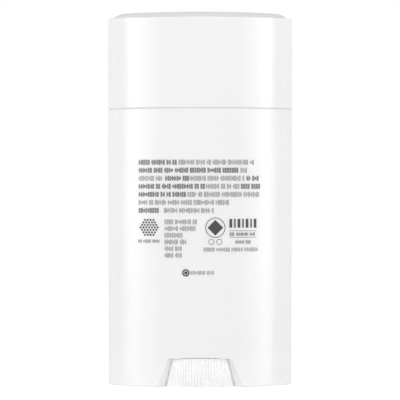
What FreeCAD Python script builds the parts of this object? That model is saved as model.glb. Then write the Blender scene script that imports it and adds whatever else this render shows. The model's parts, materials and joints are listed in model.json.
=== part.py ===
# A twist-up deodorant stick: an oval barrel with a collar and a bottom window front and back, a ribbed
# turning dial moulded in one with its feed screw, an elevator that rides on the screw and carries the
# solid stick, a thin inner seal over the stick and an outer cap.
# Millimetres. +Z up, +X to the right, the printed face looks towards -Y. The origin is the foot's centre.
import FreeCAD, Part
import math
import os

Vec = FreeCAD.Vector
UP = Vec(0, 0, 1)
SIDES = (-1, 1)
PAST = 1.0  # how far a cutting tool runs past what it cuts

# Overall form: the plan is an oval of four tangent arcs
width = 63.5
depth = 34.0
end_radius = 10.5
seam_height = 94.75
side_draft = 0.22
edge_ease = 0.25
foot_ease = 0.4

# Barrel: outer shell, collar for the cap, inner tube for the stick
shell_wall = 1.3
fit_gap = 0.15
collar_wall = 1.3
collar_height = 5.8
lip_rise = 3.2
lip_land = 0.9
tube_inset = 5.2
tube_wall = 1.0
floor_underside = 9.9
floor_thick = 1.6
web_thick = 1.2
web_foot = 3.0

# Window in the skirt that bares the dial, front and back
window_foot_half = 14.75
window_top_half = 10.9
window_height = 9.65
reveal_slope = 1.8
frame_thick = 2.6
frame_half = 17.5

# Dial, bearing and feed screw
dial_proud = 0.3
dial_gap = 0.15
dial_foot = 0.1
dial_height = 9.65
dial_wall = 1.5
dial_web = 1.3
dial_edge = 0.35
flute_count = 112
flute_depth = 0.25
flute_share = 0.6
flute_floor = 0.4
hub_radius = 6.4
hub_wall = 1.4
spoke_count = 6
spoke_thick = 1.0
thrust_radius = 8.0
running_gap = 0.08
journal_radius = 5.2
boss_radius = 8.0
boss_height = 1.3
barb_over = 0.75
barb_height = 1.4
screw_radius = 4.5
screw_end_chamfer = 1.0

# Elevator, which the screw raises
lead = 3.5
turns = 21.5
slide_gap = 0.15
skirt_height = 4.6
skirt_wall = 1.0
rest_gap = 0.3
plate_thick = 1.4
nut_wall = 1.8
nut_foot_gap = 0.4
nut_length = 8.7
key_slot_offset = 15.5
key_slot_length = 9.0
key_slot_width = 9.0
fin_thick = 1.0
fin_height = 5.0
fin_reach = 7.5

# Solid stick
stick_gap = 0.25
core_gap = 0.35
stick_drop = 2.6
crown_rise = 5.2

# Inner seal
seal_wall = 0.8
seal_gap = 0.25
seal_plug = 1.7
seal_flange_over = 1.7
tab_width = 12.0
tab_height = 4.0
tab_thick = 1.0

# Cap
cap_wall = 1.1
cap_height = 31.05
ledge_width = 1.6
dome_rise = 1.7
dome_lean = 1.2
dome_round = 3.9
crown_sag = 0.35
rim_ease = 0.25
snap_bead = 0.1
snap_width = 0.8
snap_height = 2.6

# Sizes that follow from the ones above
half_width = width / 2
half_depth = depth / 2
dial_radius = half_depth + dial_proud
flank_radius = (((half_width - end_radius) ** 2 + half_depth ** 2 - end_radius ** 2)
                / (2 * (half_depth - end_radius)))
blend_angle = math.asin((half_width - end_radius) / (flank_radius - end_radius))
land_inset = cap_wall + fit_gap
collar_top = seam_height + collar_height
lip_top = collar_top + lip_rise
floor_top = floor_underside + floor_thick
dial_top = dial_foot + dial_height
boss_top = floor_top + boss_height
barb_foot = boss_top + running_gap
barb_top = barb_foot + barb_height
skirt_foot = floor_top + rest_gap
plate_foot = skirt_foot + skirt_height
plate_top = plate_foot + plate_thick
nut_foot = barb_top + nut_foot_gap
nut_top = nut_foot + nut_length
travel = lead * turns
screw_top = nut_top + travel
stick_inset = tube_inset + stick_gap
stick_edge = lip_top - stick_drop
crown_top = stick_edge + crown_rise


def oval(inset, height):
    """The plan outline, moved inwards by inset, as a wire of four tangent arcs at a height."""
    end_r = end_radius - inset
    flank_r = flank_radius - inset
    end_x = half_width - end_radius
    flank_y = half_depth - flank_radius
    tangent_x = end_x + end_r * math.sin(blend_angle)
    tangent_y = end_r * math.cos(blend_angle)
    corners = [Vec(tangent_x, -tangent_y, height), Vec(tangent_x, tangent_y, height),
               Vec(-tangent_x, tangent_y, height), Vec(-tangent_x, -tangent_y, height)]
    middles = [Vec(end_x + end_r, 0, height), Vec(0, flank_y + flank_r, height),
               Vec(-end_x - end_r, 0, height), Vec(0, -flank_y - flank_r, height)]
    edges = []
    for place, middle in enumerate(middles):
        start = corners[place]
        finish = corners[(place + 1) % len(corners)]
        edges.append(Part.Arc(start, middle, finish).toShape())
    return Part.Wire(edges)


def prism(inset, low, high):
    """The plan outline as an upright solid between two heights."""
    return Part.Face(oval(inset, low)).extrude(Vec(0, 0, high - low))


def taper(low_inset, low, high_inset, high):
    """The plan outline as a solid whose inset changes evenly from one height to the other."""
    return Part.makeLoft([oval(low_inset, low), oval(high_inset, high)], True, True)


def box(x_half, y_low, y_high, low, high):
    """A block centred on X."""
    return Part.makeBox(2 * x_half, y_high - y_low, high - low, Vec(-x_half, y_low, low))


def turned(points):
    """A solid of revolution about Z from (radius, height) points."""
    wire = Part.makePolygon([Vec(r, 0, z) for r, z in points + points[:1]])
    return Part.Face(wire).revolve(Vec(0, 0, 0), UP, 360)


def under_crown(top, sag, x_reach, y_reach, foot):
    """Everything below a shallow crown that falls by sag at x_reach and at y_reach from its top."""
    x_far = half_width + PAST
    y_far = half_depth + PAST
    patch = Part.BezierSurface()
    patch.increase(2, 2)
    for u in range(3):
        for v in range(3):
            # The control heights of z = top - sag * ((x / x_reach)^2 + (y / y_reach)^2)
            x_term = (x_far / x_reach) ** 2 * (-1 if u == 1 else 1)
            y_term = (y_far / y_reach) ** 2 * (-1 if v == 1 else 1)
            pole = Vec((u - 1) * x_far, (v - 1) * y_far, top - sag * (x_term + y_term))
            patch.setPole(u + 1, v + 1, pole)
    sheet = patch.toShape()
    height = top + PAST - foot
    column = sheet.extrude(Vec(0, 0, -2 * height))
    return column.common(box(x_far - PAST / 2, -y_far + PAST / 2, y_far - PAST / 2, foot, top + PAST))


def flank_y_at(x, inset):
    """The Y of the front and back arcs of the plan at an X, moved inwards by inset."""
    return half_depth - flank_radius + math.sqrt((flank_radius - inset) ** 2 - x ** 2)


def edges_between(shape, low, high):
    """The edges of a shape that lie wholly between two heights."""
    return [e for e in shape.Edges if e.BoundBox.ZMin > low and e.BoundBox.ZMax < high]


def window_cut(side):
    """The cutter for one window: a trapezoid that narrows towards the dial, with flat cheeks."""
    outer_y = half_depth + PAST
    inner_y = half_depth - 2 * frame_thick
    wires = []
    for y in (outer_y, inner_y):
        foot_half = window_foot_half - (flank_y_at(window_foot_half, side_draft) - y) * reveal_slope
        top_half = window_top_half - (flank_y_at(window_top_half, side_draft) - y) * reveal_slope
        drop = (foot_half - top_half) / window_height * PAST
        corners = [(-foot_half - drop, -PAST), (foot_half + drop, -PAST),
                   (top_half, window_height), (-top_half, window_height)]
        wires.append(Part.makePolygon([Vec(x, side * y, z) for x, z in corners + corners[:1]]))
    return Part.makeLoft(wires, True, True)


def make_barrel():
    """Outer shell, collar, inner tube, floor with the bearing, window frames and two stiffening webs."""
    shell = taper(side_draft, 0, 0, seam_height)
    shell = shell.makeChamfer(edge_ease, edges_between(shell, seam_height - PAST, seam_height + PAST))
    shell = shell.makeChamfer(foot_ease, edges_between(shell, -PAST, PAST))
    collar = prism(land_inset, seam_height - PAST, collar_top)
    lip = taper(land_inset, collar_top, tube_inset - lip_land, lip_top)
    bead = Part.makeLoft([oval(land_inset, seam_height + snap_height - snap_width / 2),
                          oval(land_inset - snap_bead, seam_height + snap_height),
                          oval(land_inset, seam_height + snap_height + snap_width / 2)], True, True)
    outside = shell.fuse([collar, bead, lip])

    tube_outer = tube_inset - tube_wall
    shoulder_under = seam_height - shell_wall
    collar_under = collar_top - shell_wall
    gap_low = taper(side_draft + shell_wall, -PAST, shell_wall, shoulder_under)
    gap_high = prism(land_inset + collar_wall, shoulder_under - PAST, collar_under)
    tube = prism(tube_outer, floor_underside, lip_top)
    gap = gap_low.fuse(gap_high).cut(tube)

    frames = taper(side_draft + shell_wall / 2, 0, side_draft + shell_wall / 2, floor_underside + shell_wall)
    frames = frames.cut(prism(side_draft + frame_thick, -PAST, floor_underside + 2 * shell_wall))
    frames = frames.common(box(frame_half, -half_depth, half_depth, 0, floor_underside + shell_wall))

    webs = []
    for side in SIDES:
        web_in = dial_radius + dial_gap + PAST / 2
        web_out = half_width - side_draft - shell_wall / 2
        web = Part.makeBox(web_out - web_in, web_thick, shoulder_under - web_foot,
                           Vec(web_in, -web_thick / 2, web_foot))
        if side < 0:
            web = web.mirror(Vec(0, 0, 0), Vec(1, 0, 0))
        webs.append(web)

    body = outside.cut(gap).fuse([frames] + webs)
    body = body.cut(prism(tube_inset, floor_top, lip_top + PAST))
    boss = Part.makeCylinder(boss_radius, boss_height + floor_thick, Vec(0, 0, floor_underside))
    bearing = Part.makeCylinder(journal_radius + running_gap, floor_thick + boss_height + 2 * PAST,
                                Vec(0, 0, floor_underside - PAST))
    pocket = Part.makeCylinder(dial_radius + dial_gap, floor_underside + PAST, Vec(0, 0, -PAST))
    body = body.fuse(boss).cut([bearing, pocket] + [window_cut(side) for side in SIDES])
    return body.removeSplitter()


def fluted_disc():
    """The ribbed outline of the dial as a solid: trapezoid flutes at even pitch round a circle."""
    pitch = 2 * math.pi / flute_count
    mouth_half = pitch * flute_share / 2
    floor_half = mouth_half * flute_floor
    root_radius = dial_radius - flute_depth
    corners = []
    for number in range(flute_count):
        centre = number * pitch
        for radius, angle in ((dial_radius, centre - mouth_half), (root_radius, centre - floor_half),
                              (root_radius, centre + floor_half), (dial_radius, centre + mouth_half)):
            corners.append(Vec(radius * math.cos(angle), radius * math.sin(angle), dial_foot))
    outline = Part.makePolygon(corners + corners[:1])
    return Part.Face(outline).extrude(Vec(0, 0, dial_height))


def make_dial_screw():
    """Ribbed wheel with a hub and spokes, moulded in one with the journal, the snap barb and the screw."""
    slim = dial_radius - dial_edge
    envelope = turned([(0, dial_foot), (slim, dial_foot), (dial_radius, dial_foot + dial_edge),
                       (dial_radius, dial_top - dial_edge), (slim, dial_top), (0, dial_top)])
    wheel = fluted_disc().common(envelope)
    web_under = dial_top - dial_web
    rim_inner = dial_radius - dial_wall
    hollow = turned([(hub_radius, dial_foot - PAST), (rim_inner, dial_foot - PAST),
                     (rim_inner, web_under), (hub_radius, web_under)])
    hub_hollow = Part.makeCylinder(hub_radius - hub_wall, web_under - dial_foot + PAST,
                                   Vec(0, 0, dial_foot - PAST))
    wheel = wheel.cut([hollow, hub_hollow])
    spokes = []
    spoke_foot = dial_foot + dial_height / 4
    for number in range(spoke_count):
        spoke = Part.makeBox(rim_inner - hub_radius + hub_wall, spoke_thick, web_under - spoke_foot,
                             Vec(hub_radius - hub_wall / 2, -spoke_thick / 2, spoke_foot))
        spoke.rotate(Vec(0, 0, 0), UP, number * 360 / spoke_count)
        spokes.append(spoke)
    screw = turned([(0, web_under), (thrust_radius, web_under),
                    (thrust_radius, floor_underside - running_gap),
                    (journal_radius, floor_underside - running_gap), (journal_radius, barb_foot),
                    (journal_radius + barb_over, barb_foot), (screw_radius, barb_top),
                    (screw_radius, screw_top - screw_end_chamfer),
                    (screw_radius - screw_end_chamfer, screw_top), (0, screw_top)])
    return wheel.fuse(spokes + [screw]).removeSplitter()


def make_elevator():
    """Oval plate with a guide skirt, a central nut, slots that the stick keys into and two upright fins."""
    plate = prism(tube_inset + slide_gap, skirt_foot, plate_top)
    plate = plate.cut(prism(tube_inset + slide_gap + skirt_wall, skirt_foot - PAST, plate_foot))
    nut = Part.makeCylinder(screw_radius + running_gap + nut_wall, nut_top - nut_foot, Vec(0, 0, nut_foot))
    slots = []
    fins = []
    for side in SIDES:
        slots.append(Part.makeBox(key_slot_length, key_slot_width, plate_thick + 2 * PAST,
                                  Vec(side * key_slot_offset - key_slot_length / 2,
                                      -key_slot_width / 2, plate_foot - PAST)))
        fin_start = screw_radius + running_gap + nut_wall / 2
        fin = Part.makeBox(fin_reach - fin_start + screw_radius, fin_thick, fin_height + plate_thick,
                           Vec(fin_start, -fin_thick / 2, plate_foot))
        if side < 0:
            fin = fin.mirror(Vec(0, 0, 0), Vec(1, 0, 0))
        fins.append(fin)
    bore = Part.makeCylinder(screw_radius + running_gap, nut_length + 2 * PAST, Vec(0, 0, nut_foot - PAST))
    return plate.cut(slots).fuse([nut] + fins).cut(bore).removeSplitter()


def crown_below(lift, foot):
    """Everything under the stick's crown, raised by lift."""
    reach_x = half_width - stick_inset
    reach_y = half_depth - stick_inset
    return under_crown(crown_top + lift, crown_rise, reach_x, reach_y, foot)


def make_stick(elevator):
    """The solid stick: moulded on the elevator, round the screw and under the seal's dome."""
    stick = prism(stick_inset, plate_foot, crown_top + PAST).common(crown_below(0, plate_foot - PAST))
    core = Part.makeCylinder(screw_radius + core_gap, screw_top + core_gap - plate_foot + PAST,
                             Vec(0, 0, plate_foot - PAST))
    return stick.cut([elevator, core]).removeSplitter()


def make_seal():
    """Thin moulded cover with a flange on the collar's lip, a plug skirt, a dome and a pull tab."""
    plug_inset = tube_inset + fit_gap
    plug_foot = lip_top - seal_plug
    dome = prism(plug_inset, plug_foot, crown_top + 2 * seal_wall).common(
        crown_below(seal_gap + seal_wall, plug_foot - PAST))
    skirt = prism(plug_inset, plug_foot, lip_top + seal_wall)
    flange = prism(tube_inset - seal_flange_over, lip_top, lip_top + seal_wall)
    hollow = crown_below(seal_gap, plug_foot - 2 * PAST)
    moat = prism(plug_inset + seal_wall, plug_foot, crown_top + 3 * seal_wall).cut(
        crown_below(seal_gap + seal_wall, plug_foot - 2 * PAST))
    cover = flange.fuse(skirt).cut(moat).fuse(dome).cut(hollow)
    tab_foot = crown_top + seal_gap + seal_wall / 2
    tab = box(tab_width / 2, -tab_thick / 2, tab_thick / 2, tab_foot, tab_foot + tab_height)
    corners = [e for e in tab.Edges
               if e.BoundBox.ZMin > tab_foot + tab_height / 2 and e.BoundBox.YLength > tab_thick / 2]
    tab = tab.makeFillet(tab_height / 2, corners)
    return cover.fuse(tab).removeSplitter()


def make_cap():
    """Thin cap with straight oval walls, a narrow flat ledge and a low rounded dome inside the ledge."""
    rim = seam_height + cap_height
    crease_inset = ledge_width + dome_lean
    outer = prism(0, seam_height, rim - rim_ease).fuse(taper(0, rim - rim_ease, rim_ease, rim))
    lean = dome_lean / dome_rise
    dome = taper(ledge_width - lean * PAST, rim - PAST, crease_inset + lean * PAST, rim + dome_rise + PAST)
    dome = dome.common(under_crown(rim + dome_rise + crown_sag, crown_sag, half_width - crease_inset,
                                   half_depth - crease_inset, rim - PAST))
    dome = dome.makeFillet(dome_round, edges_between(dome, rim, rim + dome_rise + crown_sag))
    outer = outer.makeChamfer(edge_ease, edges_between(outer, seam_height - PAST, seam_height + PAST))
    roof_low = rim - 2 * cap_wall
    roof_high = rim + dome_rise - cap_wall
    flank_inset = ledge_width + cap_wall * math.hypot(1, lean)
    hollow = prism(cap_wall, seam_height - PAST, rim - cap_wall).fuse(
        taper(flank_inset + lean * (roof_low - rim), roof_low, flank_inset + lean * (roof_high - rim), roof_high))
    groove = Part.makeLoft([oval(cap_wall, seam_height + snap_height - snap_width / 2),
                            oval(cap_wall - snap_bead, seam_height + snap_height),
                            oval(cap_wall, seam_height + snap_height + snap_width / 2)], True, True)
    return outer.fuse(dome).cut([hollow, groove]).removeSplitter()


def main():
    os.makedirs("parts", exist_ok=True)
    elevator = make_elevator()
    pieces = {
        "barrel": make_barrel(),
        "dial_screw": make_dial_screw(),
        "elevator": elevator,
        "solid_stick": make_stick(elevator),
        "inner_seal": make_seal(),
        "cap": make_cap(),
    }
    for name, shape in pieces.items():
        solids = len(shape.Solids)
        print(name, "solids", solids, "valid", shape.isValid(), "volume cm3", round(shape.Volume / 1000, 3))
        shape.exportStep(os.path.join("parts", name + ".step"))
    print("travel mm", travel, "ratio m per rad", lead / 1000 / (2 * math.pi), "turn range deg", 360 * turns)


main()
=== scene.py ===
"""Looks of a twist-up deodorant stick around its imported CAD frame.

The barrel, cap, elevator, seal and stick keep their CAD meshes and get moulded plastic, milky plastic and
wax finishes. Built here are the print on the front of the barrel, which is made of ticks and simple shapes
with no lettering, and the dial with the thread of its feed screw. A plain pale studio stands round them.
"""

import json
import logging
import math
import random
from dataclasses import dataclass, field
from enum import Enum
from typing import ClassVar

import bmesh
import bpy
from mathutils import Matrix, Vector
from mathutils.bvhtree import BVHTree

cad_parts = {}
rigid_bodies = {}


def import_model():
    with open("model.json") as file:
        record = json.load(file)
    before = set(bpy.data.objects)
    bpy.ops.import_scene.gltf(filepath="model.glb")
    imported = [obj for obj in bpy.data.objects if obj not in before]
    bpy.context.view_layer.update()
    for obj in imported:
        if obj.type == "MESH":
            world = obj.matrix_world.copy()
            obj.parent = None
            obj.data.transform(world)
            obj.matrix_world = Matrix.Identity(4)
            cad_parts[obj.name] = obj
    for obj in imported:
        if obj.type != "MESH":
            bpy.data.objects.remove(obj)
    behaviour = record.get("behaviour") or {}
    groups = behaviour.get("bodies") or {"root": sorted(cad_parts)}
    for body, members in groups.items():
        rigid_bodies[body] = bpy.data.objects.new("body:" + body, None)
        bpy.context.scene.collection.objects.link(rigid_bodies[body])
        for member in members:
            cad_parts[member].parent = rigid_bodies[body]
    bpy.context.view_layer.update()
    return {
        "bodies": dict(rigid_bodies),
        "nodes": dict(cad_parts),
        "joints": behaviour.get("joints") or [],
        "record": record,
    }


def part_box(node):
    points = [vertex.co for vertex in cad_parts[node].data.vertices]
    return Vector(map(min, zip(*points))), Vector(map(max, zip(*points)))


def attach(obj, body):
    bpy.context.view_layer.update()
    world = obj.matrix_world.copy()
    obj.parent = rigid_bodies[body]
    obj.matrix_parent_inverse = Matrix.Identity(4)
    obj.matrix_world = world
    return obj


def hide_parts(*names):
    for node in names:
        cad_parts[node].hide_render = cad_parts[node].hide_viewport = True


LOG = logging.getLogger("deodorant_stick")
MM = 0.001

Colour = tuple[float, float, float]
Opaque = tuple[float, float, float, float]
Pair = tuple[float, float]
Point = tuple[float, float]
Socket = bpy.types.NodeSocket

PAPER_WHITE: Colour = (1.0, 1.0, 1.0)


class Weight(Enum):
    """Stroke widths of the ticks that stand for print, in metres."""

    BOLD = 0.215 * MM
    LIGHT = 0.132 * MM


class Flank(Enum):
    """The side of the object that a lamp stands on, as the sign of X."""

    LEFT = -1
    RIGHT = 1


@dataclass(frozen=True)
class Ramp:
    """A linear change of a value: from one input range to one output range."""

    low: float
    high: float
    to_low: float
    to_high: float


def opaque(colour: Colour) -> Opaque:
    """Adds full alpha to a colour."""
    return (*colour, 1.0)


def add_object(name: str, data: bpy.types.ID) -> bpy.types.Object:
    """Adds an object to the scene.

    Args:
        name: The object's name.
        data: Its mesh, lamp or camera data.

    Returns:
        The new object.
    """
    made = bpy.data.objects.new(name, data)
    bpy.context.scene.collection.objects.link(made)
    return made


class NodeSheet:
    """Adds and joins shader nodes in one node tree."""

    def __init__(self, tree: bpy.types.NodeTree) -> None:
        """Keeps the tree that nodes are added to.

        Args:
            tree: The node tree of a material, a world or a group.
        """
        self.tree = tree

    def add(self, kind: str, **settings: object) -> bpy.types.Node:
        """Adds a node and sets its plain properties.

        Args:
            kind: The node's type name.
            **settings: Property names and values.

        Returns:
            The new node.
        """
        node = self.tree.nodes.new(kind)
        for name, value in settings.items():
            setattr(node, name, value)
        return node

    def feed(self, node: bpy.types.Node, values: dict[str | int, object]) -> None:
        """Fills inputs of a node: a socket is linked to its input, and any other value is set on it.

        Args:
            node: The node.
            values: What goes in, by the input's name or place.
        """
        for place, value in values.items():
            if isinstance(value, Socket):
                self.tree.links.new(value, node.inputs[place])
            else:
                node.inputs[place].default_value = value

    def noise(self, place: Socket, scale: float | Socket, detail: float) -> Socket:
        """Adds a noise texture.

        Args:
            place: The coordinates that the texture reads.
            scale: Cells a metre.
            detail: Octaves of finer noise.

        Returns:
            The socket with the noise value, about 0 to 1.
        """
        node = self.add("ShaderNodeTexNoise")
        self.feed(node, {"Vector": place, "Scale": scale, "Detail": detail})
        return node.outputs["Fac"]

    def remap(self, value: Socket, ramp: Ramp) -> Socket:
        """Adds a Map Range node.

        Args:
            value: The socket to change.
            ramp: The ranges it maps from and to.

        Returns:
            The socket with the mapped value.
        """
        node = self.add("ShaderNodeMapRange")
        self.feed(node, {"Value": value, "From Min": ramp.low, "From Max": ramp.high,
                         "To Min": ramp.to_low, "To Max": ramp.to_high})
        return node.outputs["Result"]

    def maths(self, operation: str, first: float | Socket, second: float | Socket) -> Socket:
        """Adds a Math node.

        Args:
            operation: The node's operation, such as MULTIPLY.
            first: A socket or a number.
            second: A socket or a number.

        Returns:
            The socket with the result.
        """
        node = self.add("ShaderNodeMath", operation=operation)
        self.feed(node, {0: first, 1: second})
        return node.outputs["Value"]

    def scaled(self, colour: Socket, level: Socket) -> Socket:
        """Multiplies a colour by a value.

        Args:
            colour: The colour.
            level: The value.

        Returns:
            The socket with the scaled colour.
        """
        node = self.add("ShaderNodeVectorMath", operation="SCALE")
        self.feed(node, {"Vector": colour, "Scale": level})
        return node.outputs["Vector"]

    def parts(self, vector: Socket) -> tuple[Socket, Socket, Socket]:
        """Splits a vector.

        Args:
            vector: The vector.

        Returns:
            The sockets with its X, Y and Z.
        """
        node = self.add("ShaderNodeSeparateXYZ")
        self.feed(node, {0: vector})
        return tuple(node.outputs)

    def blend(self, share: Socket, first: Opaque | Socket, second: Opaque | Socket) -> Socket:
        """Mixes two colours.

        Args:
            share: How much of the second colour shows, 0 to 1.
            first: A socket or an opaque colour.
            second: A socket or an opaque colour.

        Returns:
            The socket with the mixed colour.
        """
        node = self.add("ShaderNodeMix", data_type="RGBA")
        self.feed(node, {"Factor": share, "A": first, "B": second})
        return node.outputs["Result"]

    def choose(self, test: Socket, otherwise: Socket, chosen: Socket) -> Socket:
        """Picks between two shaders.

        Args:
            test: 0 or 1.
            otherwise: The shader where the test is 0.
            chosen: The shader where the test is 1.

        Returns:
            The socket with the picked shader.
        """
        node = self.add("ShaderNodeMixShader")
        self.feed(node, {0: test, 1: otherwise, 2: chosen})
        return node.outputs[0]

    def glowing_paper(self, grey: float, glow: float) -> Socket:
        """Adds plain grey paper that also glows white.

        Args:
            grey: How much light the paper throws back, 0 to 1.
            glow: Strength of its own light, where 1 is white.

        Returns:
            The socket with the shader.
        """
        paper = self.add("ShaderNodeBsdfDiffuse")
        self.feed(paper, {"Color": opaque((grey, grey, grey))})
        light = self.add("ShaderNodeEmission")
        self.feed(light, {"Color": opaque(PAPER_WHITE), "Strength": glow})
        both = self.add("ShaderNodeAddShader")
        self.feed(both, {0: paper.outputs[0], 1: light.outputs[0]})
        return both.outputs[0]

    def backdrop(self, level: float | Socket) -> Socket:
        """Adds a neutral world background.

        Args:
            level: Its strength, where 1 is white.

        Returns:
            The socket with the shader.
        """
        node = self.add("ShaderNodeBackground")
        self.feed(node, {"Color": opaque(PAPER_WHITE), "Strength": level})
        return node.outputs[0]


def shader_group(name: str, inputs: dict[str, float | Colour], outputs: dict[str, str]) -> NodeSheet:
    """Makes an empty shader node group with named sockets.

    Args:
        name: The group's name.
        inputs: Input names with their default values: a number, or a colour.
        outputs: Output names with their socket types.

    Returns:
        The sheet of the new group, which holds no nodes yet.
    """
    tree = bpy.data.node_groups.new(name, "ShaderNodeTree")
    for label, value in inputs.items():
        is_colour = isinstance(value, tuple)
        kind = "NodeSocketColor" if is_colour else "NodeSocketFloat"
        socket = tree.interface.new_socket(name=label, in_out="INPUT", socket_type=kind)
        socket.default_value = opaque(value) if is_colour else value
    for label, kind in outputs.items():
        tree.interface.new_socket(name=label, in_out="OUTPUT", socket_type=kind)
    return NodeSheet(tree)


def new_material(name: str) -> tuple[bpy.types.Material, NodeSheet]:
    """Makes a material that uses nodes.

    Args:
        name: The material's name.

    Returns:
        The material and the sheet of its nodes.
    """
    made = bpy.data.materials.new(name)
    made.use_nodes = True
    return made, NodeSheet(made.node_tree)


class MouldedSkin:
    """Node group for the skin of a moulded part: fine spark-eroded grain, slow tint and gloss changes.

    The sloped sides of a window come out coarser than the rest, and darker by painted shade.
    """

    NAME = "moulded skin"
    INPUTS: ClassVar = {
        "Tint": (0.8, 0.8, 0.8),
        "Shade": (0.75, 0.75, 0.75),
        "Grain Scale": 4000.0,
        "Gloss": 0.3,
        "Gloss Spread": 0.05,
        "Cheek Rough": 0.0,
        "Cheek Painted Shade": 0.0,
    }
    OUTPUTS: ClassVar = {
        "Color": "NodeSocketColor",
        "Roughness": "NodeSocketFloat",
        "Height": "NodeSocketFloat",
    }
    SLOW_SCALE = 38.0
    SLOW_DETAIL = 2.0
    SLOW_DRIFT = Ramp(0.35, 0.65, 0.0, 1.0)
    RUB_SCALE = 160.0
    RUB_DETAIL = 4.0
    RUB_DRIFT = Ramp(0.3, 0.7, -1.0, 1.0)
    GRAIN_DETAIL = 2.0
    # Place times direction, in metres, from which a face counts as turned in or out
    TURNED = 0.3 * MM

    @classmethod
    def tree(cls) -> bpy.types.NodeTree:
        """Builds the group the first time it is asked for.

        Returns:
            The group, which all materials share.
        """
        found = bpy.data.node_groups.get(cls.NAME)
        if found:
            return found
        sheet = shader_group(cls.NAME, cls.INPUTS, cls.OUTPUTS)
        into = sheet.add("NodeGroupInput").outputs
        coordinates = sheet.add("ShaderNodeTexCoord").outputs
        place = coordinates["Object"]
        cheek = cls.cheeks(sheet, place, coordinates["Normal"])
        slow = sheet.remap(sheet.noise(place, cls.SLOW_SCALE, cls.SLOW_DETAIL), cls.SLOW_DRIFT)
        rubbed = sheet.remap(sheet.noise(place, cls.RUB_SCALE, cls.RUB_DETAIL), cls.RUB_DRIFT)
        tint = sheet.blend(slow, into["Tint"], into["Shade"])
        # Painted shade: the colour of a window's sloped sides is darkened by the mask times its share
        level = sheet.maths("SUBTRACT", 1.0, sheet.maths("MULTIPLY", cheek, into["Cheek Painted Shade"]))
        coarser = sheet.maths("MULTIPLY", cheek, into["Cheek Rough"])
        change = sheet.maths("MULTIPLY", rubbed, into["Gloss Spread"])
        rough = sheet.maths("ADD", sheet.maths("ADD", into["Gloss"], coarser), change)
        sheet.feed(sheet.add("NodeGroupOutput"), {
            "Color": sheet.scaled(tint, level),
            "Roughness": rough,
            "Height": sheet.noise(place, into["Grain Scale"], cls.GRAIN_DETAIL),
        })
        return sheet.tree

    @classmethod
    def cheeks(cls, sheet: NodeSheet, place: Socket, facing: Socket) -> Socket:
        """Marks the sloped sides of a window: faces that look out at the front or back but in at the sides.

        Args:
            sheet: The group's sheet.
            place: The place on the surface.
            facing: The surface's outward direction there.

        Returns:
            The socket that is 1 on such faces and 0 on the others.
        """
        product = sheet.add("ShaderNodeVectorMath", operation="MULTIPLY")
        sheet.feed(product, {0: place, 1: facing})
        across, ahead, _ = sheet.parts(product.outputs["Vector"])
        looks_in = sheet.maths("LESS_THAN", across, -cls.TURNED)
        looks_out = sheet.maths("GREATER_THAN", ahead, cls.TURNED)
        return sheet.maths("MULTIPLY", looks_in, looks_out)


@dataclass(frozen=True)
class MouldedPlastic:
    """A moulded plastic finish.

    Attributes:
        name: The material's name.
        tint: The main colour, linear.
        shade: The colour it drifts towards in slow patches.
        gloss: Mean roughness.
        gloss_spread: How far the roughness strays from its mean.
        cheek_rough: How much rougher the sloped sides of a window are, which moulds leave coarser.
        cheek_painted_shade: Share of its colour taken off such a side as painted shade.
        grain: Grains a metre of the skin texture.
        grain_depth: Height of the grain, in metres.
        glow: Weight of the light that scatters inside the plastic.
        glow_depth: How deep that light goes, in metres.
        shine: Level of the mirror reflection, where 0.5 is that of the plain plastic.
    """

    name: str
    tint: Colour
    shade: Colour
    gloss: float
    gloss_spread: float = 0.03
    cheek_rough: float = 0.0
    cheek_painted_shade: float = 0.0
    grain: float = 3600.0
    grain_depth: float = 0.004 * MM
    glow: float = 0.0
    glow_depth: float = 0.8 * MM
    shine: float = 0.5

    REFRACTION: ClassVar[float] = 1.49
    EVEN_SCATTER: ClassVar[Colour] = (1.0, 1.0, 1.0)

    def material(self) -> bpy.types.Material:
        """Builds the material with the moulded skin group.

        Returns:
            The new material.
        """
        made, sheet = new_material(self.name)
        skin = sheet.add("ShaderNodeGroup", node_tree=MouldedSkin.tree())
        sheet.feed(skin, {
            "Tint": opaque(self.tint),
            "Shade": opaque(self.shade),
            "Grain Scale": self.grain,
            "Gloss": self.gloss,
            "Gloss Spread": self.gloss_spread,
            "Cheek Rough": self.cheek_rough,
            "Cheek Painted Shade": self.cheek_painted_shade,
        })
        bump = sheet.add("ShaderNodeBump")
        sheet.feed(bump, {"Strength": 1.0, "Distance": self.grain_depth, "Height": skin.outputs["Height"]})
        sheet.feed(made.node_tree.nodes["Principled BSDF"], {
            "Base Color": skin.outputs["Color"],
            "Roughness": skin.outputs["Roughness"],
            "Normal": bump.outputs["Normal"],
            "IOR": self.REFRACTION,
            "Specular IOR Level": self.shine,
            "Subsurface Weight": self.glow,
            "Subsurface Radius": self.EVEN_SCATTER,
            "Subsurface Scale": self.glow_depth,
        })
        return made


@dataclass(frozen=True)
class PrintInk:
    """Screen-printed ink: nearly flat grey with a slightly uneven film.

    Attributes:
        name: The material's name.
        full: Colour where the film is full, linear.
        thin: Colour where it is thin.
        film_scale: Patches of the film a metre.
        film_detail: Octaves of finer patches.
        roughness: Roughness of the dry ink.
    """

    name: str = "print ink grey"
    full: Colour = (0.045, 0.045, 0.047)
    thin: Colour = (0.07, 0.07, 0.073)
    film_scale: float = 2600.0
    film_detail: float = 3.0
    roughness: float = 0.45

    def material(self) -> bpy.types.Material:
        """Builds the ink material.

        Returns:
            The new material.
        """
        made, sheet = new_material(self.name)
        place = sheet.add("ShaderNodeTexCoord").outputs["Object"]
        film = sheet.noise(place, self.film_scale, self.film_detail)
        sheet.feed(made.node_tree.nodes["Principled BSDF"], {
            "Base Color": sheet.blend(film, opaque(self.full), opaque(self.thin)),
            "Roughness": self.roughness,
        })
        return made


# The shell's window sides are rougher, and their colour is darkened by a twentieth as painted shade
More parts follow.
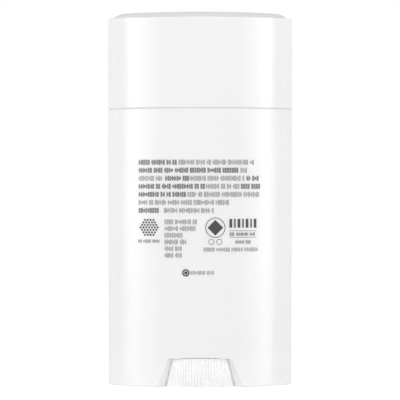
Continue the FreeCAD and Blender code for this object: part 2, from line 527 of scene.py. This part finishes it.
SHELL_PLASTIC = MouldedPlastic(
    "satin white plastic", tint=(0.86, 0.86, 0.86), shade=(0.85, 0.85, 0.852), gloss=0.15, gloss_spread=0.02,
    cheek_rough=0.45, cheek_painted_shade=0.05, glow=0.9, glow_depth=1.0 * MM)
DIAL_PLASTIC = MouldedPlastic(
    "dial white plastic", tint=(0.95, 0.95, 0.95), shade=(0.94, 0.94, 0.942), gloss=0.27,
    glow=0.6, glow_depth=0.8 * MM, shine=1.0)
INNER_PLASTIC = MouldedPlastic(
    "plain white plastic", tint=(0.84, 0.84, 0.83), shade=(0.82, 0.82, 0.81), gloss=0.38)
SEAL_PLASTIC = MouldedPlastic(
    "milky seal plastic", tint=(0.78, 0.8, 0.82), shade=(0.74, 0.77, 0.8), gloss=0.3,
    glow=0.6, glow_depth=1.5 * MM)
STICK_WAX = MouldedPlastic(
    "dry white wax", tint=(0.87, 0.86, 0.83), shade=(0.84, 0.83, 0.79), gloss=0.5, gloss_spread=0.06,
    grain=900.0, grain_depth=0.03 * MM, glow=0.5, glow_depth=2.0 * MM)


class CurvedFront:
    """Finds points on the front of a CAD node, for print that has to follow it."""

    # How far ahead of the object's middle the search starts, in metres
    REACH = 0.2

    def __init__(self, node: bpy.types.Object) -> None:
        """Builds the search tree of the node's mesh.

        Args:
            node: The CAD node that is printed on.
        """
        mesh = node.data
        points = [v.co.copy() for v in mesh.vertices]
        faces = [tuple(p.vertices) for p in mesh.polygons]
        self.tree = BVHTree.FromPolygons(points, faces)

    def at(self, x: float, z: float) -> tuple[Vector, Vector]:
        """Finds the front surface at a place.

        Args:
            x: Distance to the right of the middle, in metres.
            z: Height, in metres.

        Returns:
            The point on the surface and the surface's outward direction there.

        Raises:
            ValueError: If nothing of the node lies at that place.
        """
        hit, normal, _, _ = self.tree.ray_cast(Vector((x, -self.REACH, z)), Vector((0.0, 1.0, 0.0)))
        if hit is None:
            raise ValueError(f"no front surface at x {x:.4f}, z {z:.4f}")
        return hit, normal if normal.y < 0 else -normal


@dataclass
class InkSheet:
    """A mesh of flat ink shapes that follow a curved front.

    Attributes:
        front: The surface that the ink lies on.
        film: Thickness of the ink.
        root: How far the ink's sides reach into the surface.
        step: Longest stretch of ink without a further point.
        mesh: The mesh as it grows.
    """

    front: CurvedFront
    film: float = 0.02 * MM
    root: float = 0.01 * MM
    step: float = 0.4 * MM
    mesh: bmesh.types.BMesh = field(default_factory=bmesh.new)

    # Share of a diamond's half width that is left at its upper and lower corner
    TIP: ClassVar[float] = 0.02

    def lift(self, place: Point) -> tuple[bmesh.types.BMVert, bmesh.types.BMVert]:
        """Adds the top and the root vertex of the ink at a place.

        Args:
            place: X and Z on the front.

        Returns:
            The vertex on top of the ink and the one under it.
        """
        hit, normal = self.front.at(*place)
        return self.mesh.verts.new(hit + normal * self.film), self.mesh.verts.new(hit - normal * self.root)

    def grid(self, rows: list[list[Point]], closed: bool = False) -> None:
        """Adds one closed patch of ink from rows of places.

        Args:
            rows: Places in rows, all as long; neighbours make the patch's faces.
            closed: Whether each row's last place joins its first, as round a ring.
        """
        pairs = [[self.lift(place) for place in row] for row in rows]
        count = len(pairs[0])
        spans = [(i, (i + 1) % count) for i in range(count if closed else count - 1)]
        first, last = pairs[0], pairs[-1]
        for lower, upper in zip(pairs, pairs[1:]):
            for i, j in spans:
                self.face(lower[i][0], lower[j][0], upper[j][0], upper[i][0])
                self.face(lower[j][1], lower[i][1], upper[i][1], upper[j][1])
        for i, j in spans:
            self.face(first[i][1], first[j][1], first[j][0], first[i][0])
            self.face(last[j][1], last[i][1], last[i][0], last[j][0])
        if not closed:
            for lower, upper in zip(pairs, pairs[1:]):
                self.face(upper[0][1], lower[0][1], lower[0][0], upper[0][0])
                self.face(lower[-1][1], upper[-1][1], upper[-1][0], lower[-1][0])

    def face(self, *corners: bmesh.types.BMVert) -> None:
        """Adds one face through the corners."""
        self.mesh.faces.new(corners)

    def block(self, left: float, right: float, low: float, high: float) -> None:
        """Adds an upright rectangle of ink.

        Args:
            left: Lowest X.
            right: Highest X.
            low: Lowest Z.
            high: Highest Z.
        """
        across = max(1, math.ceil((right - left) / self.step))
        rows = []
        for z in (low, high):
            rows.append([(left + (right - left) * i / across, z) for i in range(across + 1)])
        self.grid(rows)

    def ring(self, centre: Point, inner: float, outer: float, corners: int) -> None:
        """Adds a ring of ink, or a round spot where the inner size is very small.

        Args:
            centre: X and Z of its middle.
            inner: Inner radius.
            outer: Outer radius.
            corners: Number of corners round it.
        """
        layers = max(1, math.ceil((outer - inner) / self.step))
        rows = []
        for layer in range(layers + 1):
            radius = inner + (outer - inner) * layer / layers
            row = []
            for i in range(corners):
                turn = 2 * math.pi * i / corners
                row.append((centre[0] + radius * math.cos(turn), centre[1] + radius * math.sin(turn)))
            rows.append(row)
        self.grid(rows, closed=True)

    def diamond(self, centre: Point, half: float) -> None:
        """Adds a square of ink that stands on its corner.

        Args:
            centre: X and Z of its middle.
            half: Distance from the middle to a corner.
        """
        layers = 2 * math.ceil(half / self.step)
        rows = []
        for layer in range(layers + 1):
            z = half * (2 * layer / layers - 1)
            reach = max(half - abs(z), half * self.TIP)
            row = [centre[0] + reach * (2 * i / layers - 1) for i in range(layers + 1)]
            rows.append([(x, centre[1] + z) for x in row])
        self.grid(rows)

    def finish(self, name: str, finish: bpy.types.Material) -> bpy.types.Object:
        """Turns the sheet into an object.

        Args:
            name: The object's name.
            finish: The ink material.

        Returns:
            The new object.
        """
        bmesh.ops.recalc_face_normals(self.mesh, faces=self.mesh.faces)
        data = bpy.data.meshes.new(name)
        self.mesh.to_mesh(data)
        self.mesh.free()
        data.materials.append(finish)
        return add_object(name, data)


@dataclass(frozen=True)
class TickRow:
    """A row of upright ticks that stands for a line of print.

    Attributes:
        left: X where the row starts.
        top: Z of the ticks' upper ends.
        height: Height of the tallest tick.
        runs: Stroke weight and length of each stretch of the row.
        pitch: Distance from one pair of ticks to the next.
    """

    left: float
    top: float
    height: float
    runs: tuple[tuple[Weight, float], ...]
    pitch: float = 0.78 * MM

    # Where the two ticks of a pair start, as shares of the pitch
    STARTS: ClassVar = (0.08, 0.52)
    # Foot and head that a tick can have, as shares of the height
    SPANS: ClassVar = ((0.0, 1.0), (0.0, 1.0), (0.0, 1.0), (0.2, 0.8))
    # Space between groups, as a share of the pitch
    WORD_GAP: ClassVar[float] = 0.6
    # Pairs that a group can have, least first
    WORD_SIZES: ClassVar = (2, 4, 5, 6, 7, 9)

    def draw(self, sheet: InkSheet, dice: random.Random) -> None:
        """Draws the row's ticks, in groups as long as words.

        Args:
            sheet: The ink sheet they go to.
            dice: The seeded source of group lengths and tick heights.
        """
        gap = self.pitch * self.WORD_GAP
        start = self.left
        for weight, length in self.runs:
            end = start + length
            x = start
            while x < end - self.pitch:
                room = round((end - x) / self.pitch)
                size = dice.choice(self.WORD_SIZES)
                if room - size < self.WORD_SIZES[0]:
                    size = room
                for _ in range(size):
                    self.pair(sheet, dice, x, weight)
                    x += self.pitch
                x += gap
            start = end + gap

    def pair(self, sheet: InkSheet, dice: random.Random, x: float, weight: Weight) -> None:
        """Draws two ticks side by side.

        Args:
            sheet: The ink sheet they go to.
            dice: The seeded source of tick heights.
            x: Where the pair starts.
            weight: Their stroke width.
        """
        low = self.top - self.height
        for share in self.STARTS:
            start = x + self.pitch * share
            foot, head = dice.choice(self.SPANS)
            sheet.block(start, start + weight.value, low + self.height * foot, low + self.height * head)


@dataclass(frozen=True)
class DotDisc:
    """The emblem at the left: dots in rows that are offset by half a space.

    Attributes:
        centre: X and Z of the disc's middle.
        spacing: Distance between neighbours.
        dot: Radius of a dot.
        core: Share of a dot's radius where its faces start.
        corners: Number of corners of a dot.
        reach: Radius of the disc.
    """

    centre: Point = (-17.3 * MM, 54.2 * MM)
    spacing: float = 0.98 * MM
    dot: float = 0.36 * MM
    core: float = 0.04
    corners: int = 8
    reach: float = 3.05 * MM

    def draw(self, sheet: InkSheet) -> None:
        """Draws the disc of dots.

        Args:
            sheet: The ink sheet they go to.
        """
        rise = self.spacing * math.sqrt(3) / 2
        count = math.ceil(self.reach / rise)
        for row in range(-count, count + 1):
            shift = self.spacing / 2 if row % 2 else 0.0
            for column in range(-count - 1, count + 2):
                x, z = column * self.spacing + shift, row * rise
                if math.hypot(x, z) <= self.reach:
                    place = (self.centre[0] + x, self.centre[1] + z)
                    sheet.ring(place, self.dot * self.core, self.dot, self.corners)


@dataclass(frozen=True)
class RingedLozenge:
    """The emblem in the middle: a thin ring round a diamond, with two small rings under it.

    Attributes:
        centre: X and Z of the diamond's middle.
        diamond: Distance from the middle to a corner of the diamond.
        ring: Inner and outer radius of the thin ring.
        ring_corners: Number of corners of the thin ring.
        small: Inner and outer radius of the small rings.
        small_corners: Number of corners of a small ring.
        small_offset: Distance of the small rings from the middle line.
        small_height: Z of their middles.
    """

    centre: Point = (5.2 * MM, 54.1 * MM)
    diamond: float = 2.65 * MM
    ring: Pair = (3.18 * MM, 3.4 * MM)
    ring_corners: int = 40
    small: Pair = (0.82 * MM, 0.98 * MM)
    small_corners: int = 24
    small_offset: float = 1.35 * MM
    small_height: float = 49.3 * MM

    def draw(self, sheet: InkSheet) -> None:
        """Draws the emblem.

        Args:
            sheet: The ink sheet it goes to.
        """
        sheet.ring(self.centre, *self.ring, self.ring_corners)
        sheet.diamond(self.centre, self.diamond)
        for side in (-1, 1):
            place = (self.centre[0] + side * self.small_offset, self.small_height)
            sheet.ring(place, *self.small, self.small_corners)


@dataclass(frozen=True)
class BlockMark:
    """The heavy mark at the right: a row of blocks over two thin rules.

    Attributes:
        left: X where the mark starts.
        right: X where the rules end.
        foot: Z of the blocks' lower ends.
        head: Z of their upper ends.
        widths: Widths of the blocks from left to right.
        gap: Distance between them.
        rules: Z of the rules' lower sides.
        rule: Thickness of a rule.
    """

    left: float = 10.0 * MM
    right: float = 19.2 * MM
    foot: float = 54.1 * MM
    head: float = 57.1 * MM
    widths: tuple[float, ...] = tuple(width * MM for width in (0.9, 0.5, 0.9, 0.5, 0.9, 0.5, 0.9))
    gap: float = 0.68 * MM
    rules: Pair = (53.0 * MM, 50.8 * MM)
    rule: float = 0.13 * MM

    def draw(self, sheet: InkSheet) -> None:
        """Draws the mark.

        Args:
            sheet: The ink sheet it goes to.
        """
        x = self.left
        for width in self.widths:
            sheet.block(x, x + width, self.foot, self.head)
            x += width + self.gap
        for low in self.rules:
            sheet.block(self.left, self.right, low, low + self.rule)


@dataclass(frozen=True)
class RingedSpot:
    """The small ringed spot that starts the last line.

    Attributes:
        centre: X and Z of its middle.
        spot: Inner and outer radius of the spot, which is open by a hair in its middle.
        spot_corners: Number of corners of the spot.
        ring: Inner and outer radius of the ring.
        ring_corners: Number of corners of the ring.
    """

    centre: Point = (-4.8 * MM, 38.8 * MM)
    spot: Pair = (0.03 * MM, 0.55 * MM)
    spot_corners: int = 16
    ring: Pair = (0.8 * MM, 1.25 * MM)
    ring_corners: int = 28

    def draw(self, sheet: InkSheet) -> None:
        """Draws the spot and its ring.

        Args:
            sheet: The ink sheet they go to.
        """
        sheet.ring(self.centre, *self.spot, self.spot_corners)
        sheet.ring(self.centre, *self.ring, self.ring_corners)


@dataclass
class PrintPanel:
    """The grey print in the middle of the barrel's front, with no lettering in it.

    Attributes:
        ink: The ink.
        seed: Seed of the ticks' group lengths and heights.
        text_left: X where the long rows start.
        text_top: Z of the first long row's upper side.
        text_height: Height of the ticks in the long rows.
        text_pitch: Distance from one long row to the next.
        note_left: X where the short rows start.
        note_top: Z of the first short row's upper side.
        note_height: Height of the ticks in the short rows.
        note_pitch: Distance from one short row to the next.
        emblems: The marks beside the rows.
    """

    ink: PrintInk = PrintInk()
    seed: int = 7
    text_left: float = -20.9 * MM
    text_top: float = 77.2 * MM
    text_height: float = 1.75 * MM
    text_pitch: float = 2.73 * MM
    note_left: float = -12.0 * MM
    note_top: float = 56.9 * MM
    note_height: float = 1.65 * MM
    note_pitch: float = 2.27 * MM
    emblems: tuple[DotDisc | RingedLozenge | BlockMark | RingedSpot, ...] = (
        DotDisc(), RingedLozenge(), BlockMark(), RingedSpot())

    # Stretches of the long rows: stroke weight and length in millimetres
    TEXT_RUNS: ClassVar = (
        ((Weight.BOLD, 13.2), (Weight.LIGHT, 25.6)),
        ((Weight.BOLD, 34.2), (Weight.LIGHT, 2.3)),
        ((Weight.LIGHT, 8.6), (Weight.BOLD, 8.0), (Weight.LIGHT, 18.6), (Weight.BOLD, 4.2)),
        ((Weight.BOLD, 22.4), (Weight.LIGHT, 11.4), (Weight.BOLD, 6.4)),
        ((Weight.BOLD, 16.2), (Weight.LIGHT, 24.2)),
        ((Weight.LIGHT, 31.1),),
        ((Weight.BOLD, 8.2), (Weight.LIGHT, 17.2)),
    )
    # Lengths of the short rows in millimetres
    NOTE_RUNS: ClassVar = (10.8, 10.4, 6.4, 7.2, 6.0, 5.9)
    # Rows beside and under the emblems: left, top, height, length and pitch in millimetres, with the weight
    SMALL_ROWS: ClassVar = (
        (-21.0, 50.1, 1.2, 7.6, 0.66, Weight.LIGHT),
        (10.0, 52.5, 1.15, 9.2, 0.86, Weight.BOLD),
        (12.0, 49.9, 1.3, 5.2, 0.62, Weight.LIGHT),
        (1.2, 47.4, 1.4, 18.2, 0.78, Weight.LIGHT),
        (-3.3, 39.5, 1.35, 8.6, 0.86, Weight.LIGHT),
    )

    def rows(self) -> list[TickRow]:
        """Lists the long rows, the short rows and the small rows, in that order.

        Returns:
            The rows.
        """
        made = []
        for i, runs in enumerate(self.TEXT_RUNS):
            top = self.text_top - i * self.text_pitch
            stretches = tuple((weight, length * MM) for weight, length in runs)
            made.append(TickRow(self.text_left, top, self.text_height, stretches))
        for i, length in enumerate(self.NOTE_RUNS):
            top = self.note_top - i * self.note_pitch
            stretches = ((Weight.LIGHT, length * MM),)
            made.append(TickRow(self.note_left, top, self.note_height, stretches))
        for left, top, height, length, pitch, weight in self.SMALL_ROWS:
            stretches = ((weight, length * MM),)
            made.append(TickRow(left * MM, top * MM, height * MM, stretches, pitch * MM))
        return made

    def build(self, barrel: bpy.types.Object, body: str) -> list[bpy.types.Object]:
        """Builds the print and lets it ride on the barrel.

        Args:
            barrel: The CAD node that is printed on.
            body: The CAD body that it belongs to.

        Returns:
            The print's objects.
        """
        front = CurvedFront(barrel)
        finish = self.ink.material()
        dice = random.Random(self.seed)
        lines = InkSheet(front)
        for row in self.rows():
            row.draw(lines, dice)
        marks = InkSheet(front)
        for emblem in self.emblems:
            emblem.draw(marks)
        made = [lines.finish("print_lines", finish), marks.finish("print_emblems", finish)]
        for piece in made:
            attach(piece, body)
        return made


@dataclass
class FeedScrew:
    """The dial and its feed screw, with the thread that the CAD solid has as a plain cylinder.

    Attributes:
        crest: Radius of the thread's crest, as the CAD cylinder has.
        depth: Depth of the thread.
        lead: Rise of the thread in one turn.
        crest_share: Share of half a lead that the crest takes.
        flank_share: Share of half a lead that a flank takes.
        plain: Height where the thread starts, above the snap barb.
        around: Points in one turn.
        along: Points in one lead.
        run_out: Length over which the thread fades in.
        tip: Size of the chamfer at the screw's end.
        weld: Distance under which the CAD mesh's points are one.
        crease: Angle between faces from which their edge is sharp, in degrees.
    """

    crest: float = 4.5 * MM
    depth: float = 0.85 * MM
    lead: float = 3.5 * MM
    crest_share: float = 0.32
    flank_share: float = 0.28
    plain: float = 14.6 * MM
    around: int = 48
    along: int = 12
    run_out: float = 2.0 * MM
    tip: float = 1.0 * MM
    weld: float = 0.001 * MM
    crease: float = 28.0

    def groove(self, turn: float, z: float, top: float) -> float:
        """Works out how deep the thread is cut at a place.

        Args:
            turn: Angle about the axis, in radians.
            z: Height.
            top: Height of the screw's end.

        Returns:
            The distance from the crest inwards.
        """
        if z >= top:
            return 0.0
        phase = (z / self.lead - turn / (2 * math.pi)) % 1.0
        from_middle = abs(phase - 0.5) * 2.0
        cut = min(1.0, max(0.0, (from_middle - self.crest_share) / self.flank_share))
        start = min(1.0, max(0.0, (z - self.plain) / self.run_out))
        return self.depth * cut * start

    def wheel(self, node: bpy.types.Object) -> bmesh.types.BMesh:
        """Copies the CAD node and cuts its plain screw off above the barb.

        Args:
            node: The dial's CAD node.

        Returns:
            The mesh of what is left, closed at the cut.
        """
        mesh = bmesh.new()
        mesh.from_mesh(node.data)
        bmesh.ops.remove_doubles(mesh, verts=mesh.verts, dist=self.weld)
        parts = [*mesh.verts, *mesh.edges, *mesh.faces]
        cut = bmesh.ops.bisect_plane(mesh, geom=parts, plane_co=(0.0, 0.0, self.plain),
                                     plane_no=(0.0, 0.0, 1.0), clear_outer=True)
        edges = [e for e in cut["geom_cut"] if isinstance(e, bmesh.types.BMEdge)]
        bmesh.ops.edgeloop_fill(mesh, edges=edges)
        return mesh

    def thread(self, mesh: bmesh.types.BMesh, top: float) -> None:
        """Adds the threaded rod as a closed form of its own.

        Args:
            mesh: The mesh it is added to.
            top: Height of the screw's end.
        """
        low = self.plain - self.tip / 2
        steps = round((top - low) / self.lead * self.along)
        rings = []
        for step in range(steps + 1):
            z = low + (top - low) * step / steps
            taper = max(0.0, z - (top - self.tip))
            ring = []
            for i in range(self.around):
                turn = 2 * math.pi * i / self.around
                radius = self.crest - max(self.groove(turn, z, top), taper)
                ring.append(mesh.verts.new((radius * math.cos(turn), radius * math.sin(turn), z)))
            rings.append(ring)
        for below, above in zip(rings, rings[1:]):
            for i in range(self.around):
                j = (i + 1) % self.around
                mesh.faces.new((below[i], below[j], above[j], above[i]))
        mesh.faces.new(list(reversed(rings[0])))
        mesh.faces.new(rings[-1])

    def build(self, node: bpy.types.Object, body: str, finish: bpy.types.Material) -> bpy.types.Object:
        """Builds the dial with its threaded screw in place of the CAD node.

        Args:
            node: The dial's CAD node.
            body: The CAD body that it belongs to.
            finish: The material.

        Returns:
            The new object.
        """
        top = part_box(node.name)[1].z
        mesh = self.wheel(node)
        self.thread(mesh, top)
        bmesh.ops.recalc_face_normals(mesh, faces=mesh.faces)
        data = bpy.data.meshes.new("dial_and_screw")
        mesh.to_mesh(data)
        mesh.free()
        data.set_sharp_from_angle(angle=math.radians(self.crease))
        data.materials.append(finish)
        made = add_object("dial_and_screw", data)
        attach(made, body)
        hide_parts(node.name)
        return made


@dataclass(frozen=True)
class StripLamp:
    """A tall softbox beside the object.

    Attributes:
        name: The lamp's name.
        flank: The side it stands on.
        azimuth: Its middle, in degrees off the camera's line of sight.
        spread: Its width, in degrees seen from the object.
        radiance: How bright its face is, where 1 is paper white.
        distance: How far it stands from the object's middle line.
        height: Its height.
        middle: Z of its middle.
    """

    name: str
    flank: Flank
    azimuth: float
    spread: float
    radiance: float
    distance: float = 0.8
    height: float = 1.2
    middle: float = 0.1

    def build(self) -> None:
        """Adds the lamp, facing the object."""
        turn = math.radians(self.azimuth) * self.flank.value
        place = Vector((math.sin(turn) * self.distance, -math.cos(turn) * self.distance, self.middle))
        data = bpy.data.lights.new(self.name, "AREA")
        data.shape = "RECTANGLE"
        data.size = 2 * self.distance * math.tan(math.radians(self.spread) / 2)
        data.size_y = self.height
        data.energy = self.radiance * math.pi * data.size * data.size_y
        made = add_object(self.name, data)
        made.location = place
        aim = Vector((0.0, 0.0, self.middle)) - place
        made.rotation_euler = aim.to_track_quat("-Z", "Y").to_euler()


@dataclass
class Studio:
    """A plain white studio: light table, lamps, surround and the camera of the photograph.

    Attributes:
        view_height: Height of the camera above the floor.
        view_distance: Distance from the camera to the object's middle.
        pixels_a_radian: Focal length in pixels of the frame.
        frame_pixels: Width of the frame in pixels.
        sensor: Width of the camera's sensor, in millimetres.
        view_range: Nearest and farthest distance that the camera sees.
        floor_reach: Distance from the middle to the floor's sides.
        table_grey: How much light the floor throws back at the object.
        table_glow: Strength of the floor's own light on the object, as a light table gives.
        floor_grey: How much light the floor throws back to the camera, which shows the object's shadow.
        floor_glow: Strength of the floor's own light as the camera sees it.
        ahead: Level of the room from in front of the object to behind it.
        above: Share of that level from low to high.
        lamps: The strips of light at the left and at the right.
    """

    view_height: float = 63.5 * MM
    view_distance: float = 850.0 * MM
    pixels_a_radian: float = 2460.0
    frame_pixels: int = 400
    sensor: float = 36.0
    view_range: Pair = (0.01, 50.0)
    floor_reach: float = 8.0
    table_grey: float = 0.9
    table_glow: float = 0.18
    floor_grey: float = 0.36
    floor_glow: float = 0.81
    ahead: Ramp = Ramp(-0.9, 0.3, 0.785, 0.86)
    above: Ramp = Ramp(0.25, 0.9, 1.0, 0.46)
    lamps: tuple[StripLamp, ...] = (
        StripLamp("strip_left", Flank.LEFT, 57.7, 12.6, 3.7),
        StripLamp("strip_left_feather", Flank.LEFT, 47.2, 8.4, 2.1),
        StripLamp("strip_left_fade", Flank.LEFT, 39.8, 7.6, 1.2),
        StripLamp("strip_right", Flank.RIGHT, 57.3, 12.8, 3.8),
        StripLamp("strip_right_feather", Flank.RIGHT, 46.9, 8.0, 1.7),
        StripLamp("strip_right_fade", Flank.RIGHT, 39.6, 7.4, 1.0),
    )

    def camera(self) -> None:
        """Adds the camera, level and on the object's middle line."""
        data = bpy.data.cameras.new("photo_camera")
        data.sensor_width = self.sensor
        data.lens = self.pixels_a_radian / self.frame_pixels * self.sensor
        data.clip_start, data.clip_end = self.view_range
        made = add_object("photo_camera", data)
        made.location = (0.0, -self.view_distance, self.view_height)
        made.rotation_euler = (math.pi / 2, 0.0, 0.0)
        bpy.context.scene.camera = made

    def floor_material(self) -> bpy.types.Material:
        """Builds the floor's paper: white with the object's soft shadow to the camera, a light table to it.

        Mirror reflections pass the floor and see the lamps and the room.

        Returns:
            The new material.
        """
        made, sheet = new_material("white paper floor")
        made.node_tree.nodes.clear()
        ray = sheet.add("ShaderNodeLightPath").outputs
        clear = sheet.add("ShaderNodeBsdfTransparent").outputs[0]
        table = sheet.glowing_paper(self.table_grey, self.table_glow)
        to_object = sheet.choose(ray["Is Glossy Ray"], table, clear)
        to_camera = sheet.glowing_paper(self.floor_grey, self.floor_glow)
        seen = sheet.choose(ray["Is Camera Ray"], to_object, to_camera)
        sheet.feed(sheet.add("ShaderNodeOutputMaterial"), {"Surface": seen})
        return made

    def floor(self) -> None:
        """Adds the floor under the object."""
        r = self.floor_reach
        data = bpy.data.meshes.new("studio_floor")
        data.from_pydata([(-r, -r, 0.0), (r, -r, 0.0), (r, r, 0.0), (-r, r, 0.0)], [], [(0, 1, 2, 3)])
        data.materials.append(self.floor_material())
        add_object("studio_floor", data)

    def surround(self) -> None:
        """Sets the world: white to the camera, and to the object a soft room that is dim overhead."""
        world = bpy.data.worlds.new("studio_surround")
        world.use_nodes = True
        bpy.context.scene.world = world
        world.node_tree.nodes.clear()
        sheet = NodeSheet(world.node_tree)
        _, ahead, above = sheet.parts(sheet.add("ShaderNodeTexCoord").outputs["Generated"])
        level = sheet.maths("MULTIPLY", sheet.remap(ahead, self.ahead), sheet.remap(above, self.above))
        to_camera = sheet.add("ShaderNodeLightPath").outputs["Is Camera Ray"]
        seen = sheet.choose(to_camera, sheet.backdrop(level), sheet.backdrop(1.0))
        sheet.feed(sheet.add("ShaderNodeOutputWorld"), {"Surface": seen})

    def build(self) -> None:
        """Adds everything in the studio."""
        self.surround()
        self.floor()
        for lamp in self.lamps:
            lamp.build()
        self.camera()
        bpy.context.scene.view_settings.view_transform = "Standard"


@dataclass
class DeodorantStick:
    """The whole object: dresses the CAD nodes and adds the pieces built here.

    Attributes:
        frame: The loaded CAD frame.
    """

    frame: dict

    def dress(self, name: str, finish: bpy.types.Material) -> bpy.types.Object:
        """Gives a CAD node its material.

        Args:
            name: The node's name.
            finish: The material.

        Returns:
            The node.
        """
        node = self.frame["nodes"][name]
        node.data.materials.clear()
        node.data.materials.append(finish)
        return node

    def build(self) -> list[bpy.types.Object]:
        """Dresses every node and builds the threaded dial and the print.

        Returns:
            The pieces that show.
        """
        shell = SHELL_PLASTIC.material()
        dial = DIAL_PLASTIC.material()
        barrel = self.dress("barrel", shell)
        plain_dial = self.dress("dial_screw", dial)
        return [
            barrel,
            self.dress("cap", shell),
            self.dress("elevator", INNER_PLASTIC.material()),
            self.dress("inner_seal", SEAL_PLASTIC.material()),
            self.dress("solid_stick", STICK_WAX.material()),
            FeedScrew().build(plain_dial, "dial", dial),
            *PrintPanel().build(barrel, "barrel"),
        ]


def corners(box: tuple[Vector, Vector]) -> list[list[float]]:
    """Turns a box's two corners into plain lists."""
    return [list(corner) for corner in box]


def main() -> None:
    """Builds the object and its studio, and reports each piece's material and face count."""
    logging.basicConfig(level=logging.INFO, format="%(name)s: %(message)s")
    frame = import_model()
    for piece in DeodorantStick(frame).build():
        data = piece.data
        LOG.info("%s: %s, %d faces", piece.name, data.materials[0].name, len(data.polygons))
    Studio().build()


if __name__ == "__main__":
    main()
